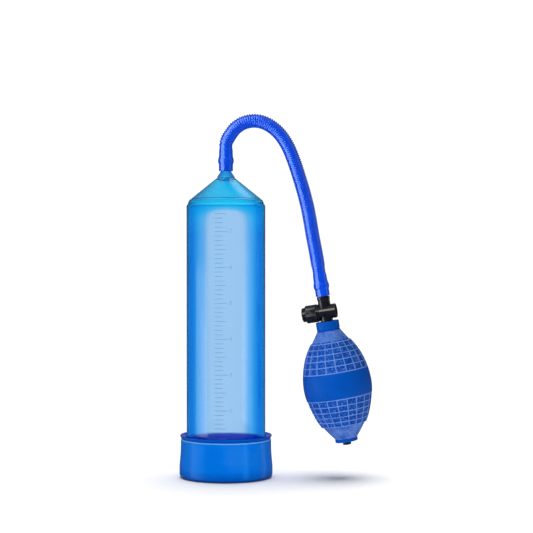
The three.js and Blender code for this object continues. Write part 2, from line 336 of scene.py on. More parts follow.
class Finish:
    """A node material on the Principled shader, with the record's slot that it belongs to."""

    def __init__(self, name, slot, values):
        self.slot = slot
        self.material = bpy.data.materials.new(name)
        self.material.use_nodes = True
        self.tree = self.material.node_tree
        self.shader = self.tree.nodes["Principled BSDF"]
        for socket, value in values.items():
            self.shader.inputs[socket].default_value = value

    def link(self, **sockets):
        """Links outputs to the shader's Base Color, Roughness and Normal, given as colour=, and so on."""
        names = {"colour": "Base Color", "roughness": "Roughness", "normal": "Normal"}
        for name, output in sockets.items():
            self.tree.links.new(output, self.shader.inputs[names[name]])


# ---- Materials ----

# The clear plastic's absorption: density per metre, and the colour that it lets through.
TUBE_DEPTH = (260, (0.077, 0.53, 0.86, 1))
CONE_DEPTH = (620, (0.0, 0.91, 0.98, 1))
# The clear plastic's colours as the surface turns away, from 0 where it faces the eye to 1 at its edge.
TUBE_TURNING = [
    (0.11, (1, 1, 1, 1)),
    (0.2, (0.33, 0.72, 0.98, 1)),
    (0.38, (0.08, 0.68, 0.98, 1)),
    (0.6, (0.0, 0.48, 0.92, 1)),
    (1.0, (0.0, 0.2, 0.7, 1)),
]
TOP_TURNING = [
    (0.11, (1, 1, 1, 1)),
    (0.2, (0.33, 0.9, 1, 1)),
    (0.38, (0.05, 0.85, 1, 1)),
    (0.6, (0.0, 0.7, 1, 1)),
    (1.0, (0.0, 0.4, 0.85, 1)),
]
# The cone's pale violet stops partway to its edge are a painted sheen, a painted reflection of light on its
# sides.
CONE_TURNING_AND_SHEEN = [
    (0.1, (0.2, 0.88, 0.99, 1)),
    (0.37, (0.9, 0.86, 1, 1)),
    (0.6, (0.6, 0.84, 1, 1)),
    (0.8, (0.05, 0.55, 0.95, 1)),
    (1.0, (0.0, 0.06, 0.35, 1)),
]
SPIGOT_TURNING = [
    (0.1, (0.02, 0.5, 1, 1)),
    (0.5, (0.0, 0.3, 0.9, 1)),
    (1.0, (0.0, 0.16, 0.7, 1)),
]
SCALE_TURNING = [
    (0.1, (0.7, 0.9, 1, 1)),
    (1.0, (0.1, 0.5, 0.9, 1)),
]
TUBE_DEEPENS = (0.176, 0.1964)  # heights in metres between which the tube's top deepens in colour
TOP_CURVE, TOP_DEEPENS = 5, 0.35  # how suddenly it deepens, and by how much of the ramp


def deepened(tree, facing, turning, top):
    """The turning ramp's colour, which goes over to a deeper cyan over the pair of heights called top."""
    rise = ranged(tree, height_of(tree), 0, 1, *top)
    deepening = calculated(tree, "MULTIPLY", calculated(tree, "POWER", rise, TOP_CURVE), TOP_DEEPENS)
    depth_seen = calculated(tree, "ADD", facing, deepening)
    sides = ramped(tree, depth_seen, *turning)
    cyan = ramped(tree, depth_seen, *TOP_TURNING)
    factor, first, second, result = 0, 6, 7, 2  # the Mix node's sockets for colours
    inputs = {factor: rise, first: sides, second: cyan}
    return add_node(tree, "ShaderNodeMix", inputs, data_type="RGBA").outputs[result]


def clear_plastic(name, depth, turning, roughness, top=None, clarity=1.0):
    """Polished clear plastic that takes its blue from its own depth, with faint moulding ripples.

    depth is its absorption. turning is its colour's ramp as the surface turns away, which loses its red as a
    thick wall seen edge on does; on the cone the ramp's pale stops are a painted sheen. Points marked as a
    seam look the same. Over top, it deepens as well."""
    values = {"IOR": 1.49, "Specular IOR Level": 0.3, "Transmission Weight": clarity}
    made = Finish(name, "clear_blue_plastic", values)
    tree = made.tree
    facing = add_node(tree, "ShaderNodeLayerWeight", {"Blend": 0.5}).outputs["Facing"]
    if top:
        colour_seen = deepened(tree, facing, turning, top)
    else:
        turned_away = calculated(tree, "MAXIMUM", facing, marked(tree, "seam"))
        colour_seen = ramped(tree, turned_away, *turning)
    ripples = noise(tree, 0.014, detail=1.0)
    smears = noise(tree, 0.03)
    made.link(
        colour=colour_seen,
        roughness=ranged(tree, smears, *roughness),
        normal=relief(tree, ripples, 0.0002, 0.25),
    )
    density, colour = depth
    absorption = add_node(tree, "ShaderNodeVolumeAbsorption", {"Color": colour, "Density": density})
    tree.links.new(absorption.outputs["Volume"], tree.nodes["Material Output"].inputs["Volume"])
    return made


def sleeve_rubber():
    """Soft satin rubber, a little cloudy in its colour. The mesh says where it has its inner colour, where
    painted shade darkens it and where a painted highlight lines its ledge.
    """
    values = {
        "IOR": 1.35,
        "Specular IOR Level": 0.5,
        "Specular Tint": srgb(60, 190, 255),
        "Subsurface Weight": 0.4,
        "Subsurface Scale": 0.006,
        "Subsurface Radius": (0.02, 0.3, 1.0),
    }
    made = Finish("sleeve_rubber", "blue_sleeve_rubber", values)
    tree = made.tree
    tone = marked(tree, "tone")
    clouds = ranged(tree, noise(tree, 0.02, detail=2.0), -0.03, 0.03)
    grain = noise(tree, 0.0005)
    inner = (0.04, srgb(0, 58, 226))
    # The deep colour is painted shade, on the bead and towards the foot.
    deep = (0.14, srgb(0, 78, 176))
    plain = (0.5, srgb(0, 118, 224))
    # The palest colour is a painted highlight, on the ledge under the bead.
    wear_and_highlight = (0.95, srgb(110, 186, 248))
    made.link(
        colour=ramped(tree, calculated(tree, "ADD", tone, clouds), inner, deep, plain, wear_and_highlight),
        roughness=ranged(tree, grain, 0.2, 0.3),
        normal=relief(tree, grain, 0.00002, 0.3),
    )
    return made


def hose_vinyl():
    """Soft vinyl of a strong blue, with a clear gloss."""
    values = {
        "Specular IOR Level": 0.8,
        "Specular Tint": srgb(160, 195, 255),
        "Subsurface Weight": 0.1,
        "Subsurface Scale": 0.002,
        "Subsurface Radius": (0.1, 0.4, 1.0),
        "Sheen Weight": 0.3,
        "Sheen Roughness": 0.4,
        "Sheen Tint": srgb(0, 190, 255),
    }
    made = Finish("hose_vinyl", "blue_hose_plastic", values)
    tree = made.tree
    clouds = noise(tree, 0.006, detail=2.0)
    grain = noise(tree, 0.004)
    made.link(
        colour=ramped(tree, clouds, (0.3, srgb(0, 70, 224)), (0.7, srgb(0, 82, 238))),
        roughness=ranged(tree, grain, 0.18, 0.24),
        normal=relief(tree, grain, 0.00002, 0.3),
    )
    return made


def bulb_rubber():
    """Matt rubber: deep blue where it is smooth, and pale on raised lines and shoulders, partly a powdery
    bloom and partly a painted highlight on the lines and a painted sheen on the shoulders.

    The mesh says how much bloom and painted sheen a point has and how deep its grip's grain is."""
    values = {"Specular IOR Level": 0.3, "Specular Tint": srgb(90, 170, 255)}
    made = Finish("bulb_rubber", "blue_bulb_rubber", values)
    tree = made.tree
    bloom_and_sheen = marked(tree, "bloom_and_sheen")
    grip = marked(tree, "grip")
    dust = noise(tree, 0.0007)
    patches = noise(tree, 0.008)
    specks = noise(tree, 0.0012, detail=4.0)
    base = calculated(tree, "ADD", bloom_and_sheen, 0.15)
    patchy = calculated(tree, "MULTIPLY", base, ranged(tree, patches, 0.7, 1.15))
    powder = calculated(tree, "MULTIPLY", ranged(tree, specks, -0.6, 0.5), grip)
    dusty = calculated(tree, "ADD", ranged(tree, dust, -0.03, 0.08), powder)
    shade = calculated(tree, "ADD", patchy, dusty)
    stipple = calculated(tree, "MULTIPLY", specks, grip)
    skin_grain = calculated(tree, "MULTIPLY", dust, 0.15)
    height = calculated(tree, "ADD", stipple, skin_grain)
    dark = (0.0, srgb(0, 46, 124))
    deep = (0.15, srgb(0, 86, 194))
    tile = (0.5, srgb(22, 80, 180))
    pale = (1.0, srgb(112, 154, 238))
    made.link(
        colour=ramped(tree, shade, dark, deep, tile, pale),
        roughness=ranged(tree, shade, 0.4, 0.75, start=0, end=1),
        normal=relief(tree, height, 0.0003, 0.8),
    )
    return made


def black_plastic():
    """Black moulded plastic, glossy, with a fine texture and rubbed patches."""
    made = Finish("black_plastic", "black_plastic", {"Specular IOR Level": 0.5})
    tree = made.tree
    wear_and_highlight = noise(tree, 0.003)
    texture = noise(tree, 0.0003)
    made.link(
        colour=ramped(tree, wear_and_highlight, (0.3, srgb(18, 18, 22)), (0.7, srgb(28, 28, 33))),
        roughness=ranged(tree, wear_and_highlight, 0.1, 0.24),
        normal=relief(tree, texture, 0.00002, 0.3),
    )
    return made


def black_rubber():
    """Matt black rubber of the seals and discs."""
    made = Finish("black_rubber", "black_rubber", {"Specular IOR Level": 0.3})
    tree = made.tree
    dust = noise(tree, 0.0006)
    made.link(
        colour=ramped(tree, dust, (0.3, srgb(10, 10, 10)), (0.7, srgb(24, 24, 25))),
        roughness=ranged(tree, dust, 0.6, 0.85),
        normal=relief(tree, dust, 0.00002, 0.4),
    )
    return made


def spring_steel():
    """Drawn bright wire."""
    made = Finish("spring_steel", "spring_steel", {"Metallic": 1.0})
    tree = made.tree
    drawn = noise(tree, 0.0002)
    made.link(
        colour=ramped(tree, drawn, (0.3, srgb(170, 172, 176)), (0.7, srgb(205, 207, 210))),
        roughness=ranged(tree, drawn, 0.18, 0.35),
        normal=relief(tree, drawn, 0.000005, 0.4),
    )
    return made


CLEAR = clear_plastic("clear_blue", TUBE_DEPTH, TUBE_TURNING, (0.08, 0.14), top=TUBE_DEEPENS)
CYAN = clear_plastic("clear_cyan", CONE_DEPTH, CONE_TURNING_AND_SHEEN, (0.16, 0.24))
SPIGOT = clear_plastic("cloudy_cyan", CONE_DEPTH, SPIGOT_TURNING, (0.2, 0.3), clarity=0.2)
SCALE = clear_plastic("clear_scale", TUBE_DEPTH, SCALE_TURNING, (0.1, 0.2), clarity=0.89)
SLEEVE = sleeve_rubber()
VINYL = hose_vinyl()
BULB_RUBBER = bulb_rubber()
BLACK = black_plastic()
SEAL = black_rubber()
STEEL = spring_steel()


def dress(obj, finish, body, *nodes):
    """Gives a piece its material, its body and the CAD nodes that it stands for."""
    obj.data.materials.clear()
    obj.data.materials.append(finish.material)
    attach(obj, body)
    if nodes:
        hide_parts(*nodes)
    return obj


def turned_piece(name, outline, segments, place, finish, body, *nodes, fluting=None):
    """A dressed piece that is turned from an outline."""
    return dress(shape(name, turned(rounded(outline), segments, fluting), place), finish, body, *nodes)


# ---- Hose ----

# The centreline: (x from the cylinder's axis, z), from the upper cuff over the arch to the lower one.
HOSE_ROUTE = [
    (0, 240.1),
    (0, 241.6),
    (1, 244.4),
    (3.3, 248.3),
    (6.9, 252.9),
    (11.9, 256.3),
    (17.6, 258),
    (23.4, 258),
    (29, 256.3),
    (34.1, 253.2),
    (38.5, 249.2),
    (42, 244.6),
    (45, 239.4),
    (47.4, 234),
    (50.5, 225.6),
    (53.7, 215.6),
    (56.6, 205.8),
    (59.2, 195.4),
    (61.2, 184.8),
    (63.1, 173.8),
    (65.2, 163),
    (67.5, 149.3),
]
CREST, PLAIN, BORE = 5.35, 4.65, 3.6  # radii: over the ribs, where the hose meets a cuff, and inside
RIB_PITCH, RIB_DEPTH = 1.55, 0.7
RIB_SHARPNESS = 2  # how narrow the grooves between the ribs are
INNER_RIBS = 0.3  # the depth of the ribs on the inner side of the arch, as a share of the outer side's
ARCH = (200, 245)  # heights between which the ribs on the inner side grow shallow
RIBS_GROW = 5  # the length over which the ribs rise from the plain end
GROWTH_CURVE = 0.7  # below 1, they rise fast at first
ROUTE_STEPS, RIB_STEPS, HOSE_SIDES = 40, 10, 40  # from point to point of the route, along a rib, round it
RIB_SHADING = 0.4  # how far the ribs' own slopes turn the light, so that the gloss runs on over the grooves

CUFF_SEGMENTS = 64
CUFF_OUTLINE = [  # heights are above the cuff's foot, and the bulge lies over the barbs
    (3.95, 0.3),
    (4.25, 0),
    (5.15, 0, 0.25),
    (5.1, 4.9, 0.6),
    (5.73, 6.3, 0.6),
    (5.73, 8.3, 0.7),
    (5.12, 10.2, 0.9),
    (5.0, 13),
    (4.96, 15, 0.8),
    (4.62, 17.2, 0.5),
    (4.62, 18.25),
    (3.95, 18.25),
]


def cuff(name, node, place, foot):
    """A moulded cuff at one end of the hose."""
    outline = [(radius, foot + height, *rounding) for radius, height, *rounding in CUFF_OUTLINE]
    return turned_piece(name, outline, CUFF_SEGMENTS, place, VINYL, "hose", node)


def soften(hose, centres):
    """Turns the normals of the hose's outside most of the way to those of a plain tube."""
    normals = [vertex.normal.copy() for vertex in hose.data.vertices]
    for index in range(len(centres) * HOSE_SIDES):
        outward = (hose.data.vertices[index].co - centres[index // HOSE_SIDES]).normalized()
        normals[index] = outward.lerp(normals[index], RIB_SHADING).normalized()
    hose.data.normals_split_custom_set_from_vertices(normals)


def corrugated_hose(cuffs):
    """One tube with fine ribs round its outside, which fade into a plain end at each cuff."""
    route = [CYLINDER @ Vector((x, 0, z)) for x, z in HOSE_ROUTE]
    fine = catmull(route, ROUTE_STEPS)
    length = sum((b - a).length for a, b in zip(fine, fine[1:]))
    ribs = round(length / (RIB_PITCH * MM))
    centres = evenly(fine, ribs * RIB_STEPS + 1)

    def outside(index, side):
        """The outer radius. The ribs are lower and finer on the inner side of the arch."""
        along = index / RIB_STEPS
        from_end = min(along, ribs - along) * RIB_PITCH
        grown = min(1, from_end / RIBS_GROW) ** GROWTH_CURVE
        height = centres[index].z / MM
        squeezed = max(0, side) * min(1, max(0, (height - ARCH[0]) / (ARCH[1] - ARCH[0])))
        crest = PLAIN + (CREST - PLAIN) * grown * (1 - squeezed / 2)
        depth = RIB_DEPTH * min(1, 2 * grown) * (1 + (INNER_RIBS - 1) * squeezed)
        return crest - depth * abs(math.cos(math.pi * along)) ** RIB_SHARPNESS

    bore = centres[::RIB_STEPS]
    inside = tube_rings(bore, lambda index, side: BORE, HOSE_SIDES)[::-1]
    rings = tube_rings(centres, outside, HOSE_SIDES) + inside
    hose = dress(shape("corrugated_hose", rings, UNMOVED, crease=80), VINYL, "hose", "hose")
    soften(hose, centres)


corrugated_hose([
    cuff("upper_cuff", "hose_cuff_upper", CYLINDER, UPPER_CUFF_FOOT),
    cuff("lower_cuff", "hose_cuff_lower", BULB, LOWER_CUFF_FOOT),
])

# ---- Cylinder ----

TUBE_RADIUS, TUBE_BORE = 28.6, 26.2
TUBE_FOOT, TUBE_TOP = 4.6, 196.66
LIP_FOOT = 196.2
SEAM = (201.7, 202.4)  # heights of the fine glued seam under the cone
SHANK, NOZZLE_BORE, NOZZLE_TOP = 3.3, 1.6, 235
FINE_SEGMENTS, NOZZLE_SEGMENTS = 180, 96


def clear_tube():
    """The plain tube, open at both ends."""
    outline = [
        (TUBE_BORE, TUBE_FOOT, 0.4),
        (TUBE_RADIUS, TUBE_FOOT, 0.6),
        (TUBE_RADIUS, TUBE_TOP, 0.04),
        (TUBE_BORE, TUBE_TOP, 0.04),
    ]
    turned_piece("clear_tube", outline, FINE_SEGMENTS, CYLINDER, CLEAR, "cylinder", "cylinder_tube")


def cone_cap():
    """The cap, from its lip in the tube up the stepped shoulder and the cone, and down inside."""
    outline = [
        (24.6, LIP_FOOT, 0.02),
        (25.9, LIP_FOOT, 0.02),
        (25.9, 196.7),
        (TUBE_RADIUS, 196.7, 0.04),
        (27.6, 198.3, 0.3),
        (27.1, 200.0, 0.4),
        (26.6, 201.0, 0.3),
        (25.4, 201.7, 0.1),
        (25.1, 201.95),
        (24.9, 202.2),
        (24.6, 202.45),
        (6.9, 216.7, 0.3),
        (3.6, 216.7),
        (3.6, 214.1),
        (5.9, 214.1, 0.5),
        (24.6, 199.4, 1.2),
    ]
    cap = turned_piece("clear_cone", outline, FINE_SEGMENTS, CYLINDER, CYAN, "cylinder", "cone_cap")
    heights = [vertex.co.z / MM for vertex in cap.data.vertices]
    mark(cap, "seam", [1.0 if SEAM[0] < height < SEAM[1] else 0.0 for height in heights])


BARB_STARTS = (9, 4)  # how far below the spigot's end each barb has its edge
BARB_PROUD, BARB_EDGE, BARB_LENGTH = 0.35, 0.2, 3
SPIGOT_TAPER = 0.35


def barbs(shank, top):
    """The outside of a spigot's two barbs, up to its tapered end."""
    outline = []
    for start in BARB_STARTS:
        foot = top - start
        outline += [(shank, foot), (shank + BARB_PROUD, foot + BARB_EDGE), (shank, foot + BARB_LENGTH)]
    return [*outline, (shank - SPIGOT_TAPER, top)]


def barbed_nozzle():
    """The nozzle on the cone: its foot, its flared collar and two barbs, with a bore through it."""
    outline = [
        (NOZZLE_BORE, 214.2),
        (SHANK, 214.2, 0.3),
        (SHANK, 217.0),
        (6.5, 217.0, 0.15),
        (6.4, 217.6, 0.2),
        (5.3, 219.4, 0.6),
        (4.1, 221.0, 0.4),
        (4.1, 221.7, 0.1),
        (SHANK, 221.7),
        *barbs(SHANK, NOZZLE_TOP),
        (NOZZLE_BORE, NOZZLE_TOP),
    ]
    turned_piece("barbed_nozzle", outline, NOZZLE_SEGMENTS, CYLINDER, SPIGOT, "cylinder", "hose_nozzle")


clear_tube()
cone_cap()
barbed_nozzle()

# ---- The ruler moulded on the cylinder ----

INCH = 25.4
EIGHTHS = 8  # the ruler's divisions in an inch
RULER_INCHES = (1.5, 7.5)
TICK_LEFT = -7.3  # along the tube's surface from the line that faces the camera
TICK_LENGTHS = {1: 5.8, 2: 5.8, 4: 8.0, 8: 9.6}  # for eighths, quarters, halves and whole inches
TICK_WIDTH, TICK_PROUD, TICK_ROOT = 0.38, 0.18, 0.05
NUMERAL_SIZE, NUMERAL_LEFT, NUMERAL_RISE = 4.6, 3.0, 0.2


def on_tube(along, height, proud):
    """A point on the tube's front: along its surface, up it, and proud of it."""
    angle = along / TUBE_RADIUS - math.pi / 2
    reach = TUBE_RADIUS + proud
    return (reach * math.cos(angle), reach * math.sin(angle), height)


def tick(height, length, steps=8):
    """Rings of one raised line round the tube, closed by a pole at each end."""
    foot, crest = TICK_WIDTH / 2, TICK_WIDTH / 4
    corners = [(-foot, -TICK_ROOT), (foot, -TICK_ROOT), (crest, TICK_PROUD), (-crest, TICK_PROUD)]
    start, end = ([on_tube(TICK_LEFT + along, height, 0)] for along in (0, length))
    rings = []
    for step in range(steps + 1):
        along = TICK_LEFT + length * step / steps
        rings.append([on_tube(along, height + rise, proud) for rise, proud in corners])
    return [start, *rings, end]


def numeral(value):
    """The points and faces of a raised numeral on the tube."""
    text = bpy.data.curves.new("numeral", "FONT")
    text.body = str(value)
    text.size = NUMERAL_SIZE
    text.align_y = "CENTER"
    text.extrude = (TICK_PROUD + TICK_ROOT) / 2
    flat = bpy.data.objects.new("numeral", text)
    scene.collection.objects.link(flat)
    mesh = bpy.data.meshes.new_from_object(flat.evaluated_get(bpy.context.evaluated_depsgraph_get()))
    middle = (TICK_PROUD - TICK_ROOT) / 2
    height = value * INCH + NUMERAL_RISE
    points = [on_tube(NUMERAL_LEFT + v.co.x, height + v.co.y, middle + v.co.z) for v in mesh.vertices]
    faces = [list(face.vertices) for face in mesh.polygons]
    bpy.data.objects.remove(flat)
    return points, faces


def ruler():
    """All the ruler's lines and numerals, as one piece."""
    points, faces = [], []

    def add(more_points, more_faces):
        start = len(points)
        points.extend(more_points)
        faces.extend([start + index for index in face] for face in more_faces)

    first, last = (round(inches * EIGHTHS) for inches in RULER_INCHES)
    for division in range(first, last + 1):
        size = math.gcd(division, EIGHTHS)
        add(*skin(tick(division * INCH / EIGHTHS, TICK_LENGTHS[size]), closed=False))
        if size == EIGHTHS:
            add(*numeral(division // EIGHTHS))
    dress(placed("ruler", points, faces, CYLINDER), SCALE, "cylinder")


ruler()

# ---- Base sleeve ----

SLEEVE_STEPS = 3  # between two points of its side
SLEEVE_SIDE = [(33.8, 6.6), (33.75, 9), (33.4, 13), (33.05, 17), (32.85, 21.5), (32.8, 26.6)]
SLEEVE_INSIDE = 30.5  # within this radius, the surface is the bore's or the mouth's
LEDGE = (27.3, 28.0)  # heights of the painted highlight line on the ledge under the bead
FOOT_SHADE_HEIGHT = 8  # the height below which painted shade darkens the rubber's colour towards the foot
# The bead's and the foot's tones are painted shade; the ledge's tone is a painted highlight.
INNER_TONE, PAINTED_SHADE_TONE, PLAIN_TONE, PAINTED_HIGHLIGHT_TONE = 0.0, 0.15, 0.5, 1.0


def sleeve_tone(radius, height):
    """The rubber's tone at a point of the outline: painted shade on the bead and darker towards the foot, a
    painted highlight on the ledge.
    """
    if radius < SLEEVE_INSIDE:
        return INNER_TONE
    if LEDGE[0] <= height <= LEDGE[1]:
        return PAINTED_HIGHLIGHT_TONE
    if height > LEDGE[1]:
        return PAINTED_SHADE_TONE
    return PAINTED_SHADE_TONE + (PLAIN_TONE - PAINTED_SHADE_TONE) * min(1, height / FOOT_SHADE_HEIGHT)


def base_sleeve():
    """The sleeve, from its underside up the side, over the ledge and bead, and down inside to the mouth."""
    outline = rounded([
        (18.2, 0, 0.4),
        (33.8, 0, 3.4),
        (33.8, 5),
        *[tuple(point) for point in catmull(SLEEVE_SIDE, SLEEVE_STEPS)],
        (32.8, 27.15),
        (32.8, 27.4, 0.1),
        (32.2, 27.95, 0.1),
        (32.15, 28.1),
        (32.4, 28.4, 0.1),
        (33.3, 30.2, 0.3),
        (33.2, 30.8, 0.3),
        (29.4, 29.7, 0.3),
        (28.9, 29.0, 0.3),
        (28.9, 4.3, 0.5),
        (18.2, 4.3, 0.8),
        (17, 3.1, 0.5),
        (17, 1.2, 0.5),
    ], steps=8)
    sleeve = shape("rubber_sleeve", turned(outline, FINE_SEGMENTS), CYLINDER)
    mark(sleeve, "tone", [sleeve_tone(*point) for point in outline for _ in range(FINE_SEGMENTS)])
    dress(sleeve, SLEEVE, "sleeve", "base_sleeve")


base_sleeve()

# ---- Squeeze bulb ----

BULB_SIDE = [
    (8.7, 0),
    (13.6, 6.5),
    (18, 13.5),
    (21.7, 23.5),
    (24, 34),
    (24.1, 43),
    (22.5, 53),
    (19.1, 62.5),
    (14.1, 71),
    (8.5, 79.5),
]
LOWER_ROWS = [10.3, 13.9, 17.5, 21.4, 25.6, 30.2]  # heights of the grid's lines round the bulb
UPPER_ROWS = [49.5, 54.1, 58.6, 62.8, 66.7, 70.4]
COLUMNS = 20
LOWER_TURN, UPPER_TURN = -97.5, -90  # where one of the lines up the bulb lies, in degrees
ROW_HALF, ROW_SLOPE = 0.28, 0.18  # half a line's width, and the width of the slope beside it
COLUMN_HALF, COLUMN_SLOPE = 0.7, 0.45  # the same in degrees
LINE_HEIGHT = 0.5
BAND_HEIGHT = 0.6  # the plain band between the grids
SHOULDER_DEPTH = 0.5  # the plain shoulders beyond the grids
BULB_WALL = 2.4
SIDE_STEPS = 24  # between two points of the bulb's side
RING_GAP, ANGLE_GAP = 1.1, 2.2  # about how far apart points lie away from the lines, in mm and degrees
# How pale each part is drawn: partly a powdery bloom, partly a painted highlight on the lines and a painted
# sheen on the shoulders.
LINE_BLOOM_AND_SHEEN, TILE_BLOOM_AND_SHEEN, SHOULDER_BLOOM_AND_SHEEN = 1.0, 0.3, 0.7
SHOULDER_GRIP = 0.25
FLANGE_OUTLINE = [(3.3, -2.6), (8.2, -2.6, 0.3), (8.2, -0.2, 0.3), (7.9, 0.15)]
NECK_OUTLINE = [(8.3, 79.5), (8.0, 79.75), (8.45, 80.1), (8.45, 85.7, 0.45), (4.6, 85.7, 0.3), (4.6, 75)]
HOLLOW_HEIGHTS = range(72, 8, -4)
TAIL_BORE = [(4.6, 6.2), (4.6, -0.5), (3.3, -0.5)]


def stepped(value, half, slope):
    """How far value lies inside a line or band: 1 inside, 0 outside, with a slope between."""
    return min(1, max(0, (half + slope - abs(value)) / slope))


def column_at(degrees, turn):
    """The height, from 0 to 1, of the lines up the bulb."""
    width = 360 / COLUMNS
    off = (degrees - turn + width / 2) % width - width / 2
    return stepped(off, COLUMN_HALF, COLUMN_SLOPE)


def band_at(t, rows):
    """1 within a grid band, 0 outside."""
    middle, half = (rows[0] + rows[-1]) / 2, (rows[-1] - rows[0]) / 2
    return stepped(t - middle, half + ROW_HALF, ROW_SLOPE)


def bulb_surface(t, degrees):
    """The relief, bloom and painted sheen, and grip of a point on the bulb's outside."""
    for rows, turn in ((LOWER_ROWS, LOWER_TURN), (UPPER_ROWS, UPPER_TURN)):
        inside = band_at(t, rows)
        if inside > 0:
            row = max(stepped(t - line, ROW_HALF, ROW_SLOPE) for line in rows)
            line = max(row, column_at(degrees, turn))
            beside = BAND_HEIGHT if LOWER_ROWS[0] < t < UPPER_ROWS[-1] else -SHOULDER_DEPTH
            height = LINE_HEIGHT * line * inside + beside * (1 - inside)
            return height, TILE_BLOOM_AND_SHEEN + (LINE_BLOOM_AND_SHEEN - TILE_BLOOM_AND_SHEEN) * line, 1 - line
    if LOWER_ROWS[-1] < t < UPPER_ROWS[0]:
        return BAND_HEIGHT, 0.0, 0.0
    return -SHOULDER_DEPTH, SHOULDER_BLOOM_AND_SHEEN, SHOULDER_GRIP


def spread_out(low, high, gap):
    """Values from low up to high, not including it, at even gaps of about the given size."""
    count = max(1, round((high - low) / gap))
    return [low + (high - low) * step / count for step in range(count)]


def line_edges(half, slope):
    """Where a line's slopes start and end, from its middle."""
    return -half - slope, -half, half, half + slope


def bulb_heights():
    """The heights of the bulb's rings: close together at each line of the grid."""
    edges = line_edges(ROW_HALF, ROW_SLOPE)
    marks = [0, *[t + edge for t in LOWER_ROWS + UPPER_ROWS for edge in edges], BULB_SIDE[-1][1]]
    heights = []
    for low, high in zip(marks, marks[1:]):
        heights.extend(spread_out(low, high, RING_GAP))
    return heights


def bulb_angles():
    """The angles of the bulb's points: close together at each line of both grids."""
    edges = line_edges(COLUMN_HALF, COLUMN_SLOPE)
    width = 360 / COLUMNS
    marks = sorted((turn + edge) % width for turn in (LOWER_TURN, UPPER_TURN) for edge in edges)
    within = []
    for low, high in zip(marks, [*marks[1:], marks[0] + width]):
        within.extend(spread_out(low, high, ANGLE_GAP))
    return [width * column + angle for column in range(COLUMNS) for angle in within]


def radius_on(side, t):
    """The radius of the bulb's plain outline at a height."""
    for low, high in zip(side, side[1:]):
        if low[1] <= t <= high[1]:
            return low[0] + (high[0] - low[0]) * (t - low[1]) / (high[1] - low[1])
    return side[-1][0]


def squeeze_bulb():
    """The bulb, from its flange over the outside to the neck, and down inside its hollow."""
    side = catmull(BULB_SIDE, SIDE_STEPS)
    angles = bulb_angles()
    turns = [(math.cos(math.radians(angle)), math.sin(math.radians(angle))) for angle in angles]
    rings, blooms_and_sheen, grips = [], [], []

    def add_ring(t, surface):
        """Adds a ring from the radius, bloom and painted sheen, and grip at each angle."""
        rings.append([(radius * x, radius * y, t) for (radius, _, _), (x, y) in zip(surface, turns)])
        blooms_and_sheen.extend(bloom_and_sheen for _, bloom_and_sheen, _ in surface)
        grips.extend(grip for _, _, grip in surface)

    def add_plain(outline):
        for radius, t in outline:
            add_ring(t, [(radius, 0.0, 0.0)] * len(angles))

    add_plain(rounded(FLANGE_OUTLINE))
    for t in bulb_heights():
        plain = radius_on(side, t)
        surface = [bulb_surface(t, angle) for angle in angles]
        add_ring(t, [(plain + height, bloom_and_sheen, grip) for height, bloom_and_sheen, grip in surface])
    add_plain(rounded(NECK_OUTLINE))
    add_plain([(radius_on(side, t) - BULB_WALL, t) for t in HOLLOW_HEIGHTS])
    add_plain(TAIL_BORE)
    bulb = shape("rubber_bulb", rings, BULB, crease=40)
    mark(bulb, "bloom_and_sheen", blooms_and_sheen)
    mark(bulb, "grip", grips)
    dress(bulb, BULB_RUBBER, "bulb", "squeeze_bulb")


squeeze_bulb()

# ---- Release valve ----

VALVE_IN_BULB = BULB.inverted() @ VALVE  # the valve's axis frame in the bulb's, both in millimetres
UPRIGHT_OUTLINE = [
    (0, 70),
    (4.2, 70, 0.3),
    (4.2, 86.2),
    (4.45, 86.2),
    (4.45, 101.6, 0.15),
    (4.7, 101.9, 0.15),
    (4.7, 104, 0.25),
    (3.25, 104),
    *barbs(3.25, 117),
    (0, 117),
]
CROSS_OUTLINE = [
    (0, -9),
    (4, -9),
    (4, -5.6),
    (6.2, -5.6, 0.2),
    (6.2, -4.6, 0.2),
    (5.2, -4.3, 0.2),
    (5.2, 8, 0.35),
    (3.9, 8, 0.15),
    (3.9, 7.6, 0.1),
    (0, 7.6),
]
BODY_SEGMENTS, BORE_SEGMENTS, SMALL_SEGMENTS = 72, 48, 64
PASSAGE = (1.6, 71, 118)  # radius, low end and high end of the way through the stem
CHAMBER = (3.1, 69, 79)  # the same of the inlet disc's chamber
CROSS_BORE = [
    (0, -10),
    (2.4, -10),
    (2.4, -6.6),
    (1.6, -6.6),
    (1.6, 3.6),
    (3.4, 3.6),
    (3.4, 9),
    (0, 9),
]


def plain_cylinder(radius, low, high):
    """The outline of a solid cylinder."""
    return [(0, low), (radius, low), (radius, high), (0, high)]


def valve_body():
    """The upright stem and the cross cylinder, joined and bored through."""
    body = shape("valve_cross", turned(rounded(UPRIGHT_OUTLINE), BODY_SEGMENTS), UNMOVED)
    cross = shape("cross", turned(rounded(CROSS_OUTLINE), BODY_SEGMENTS), VALVE_IN_BULB)
    combined(body, [cross], "UNION")
    cutters = [
        shape("cross_bore", turned(CROSS_BORE, BORE_SEGMENTS), VALVE_IN_BULB),
        shape("passage", turned(plain_cylinder(*PASSAGE), BORE_SEGMENTS), UNMOVED),
        shape("chamber", turned(plain_cylinder(*CHAMBER), BORE_SEGMENTS), UNMOVED),
    ]
    combined(body, cutters, "DIFFERENCE")
    body.data.transform(BULB)
    smooth(body.data)
    dress(body, BLACK, "bulb", "valve_body")


valve_body()

FLUTES = 40
CAP_SEGMENTS = FLUTES * 6
BUTTON_SEGMENTS = 80
FLUTE_DEPTH = 0.22
FLUTES_OUTSIDE = 6.4  # the radius beyond which the cap is fluted
KNURL = (-13.6, -6.5)  # the fluted length of the cap


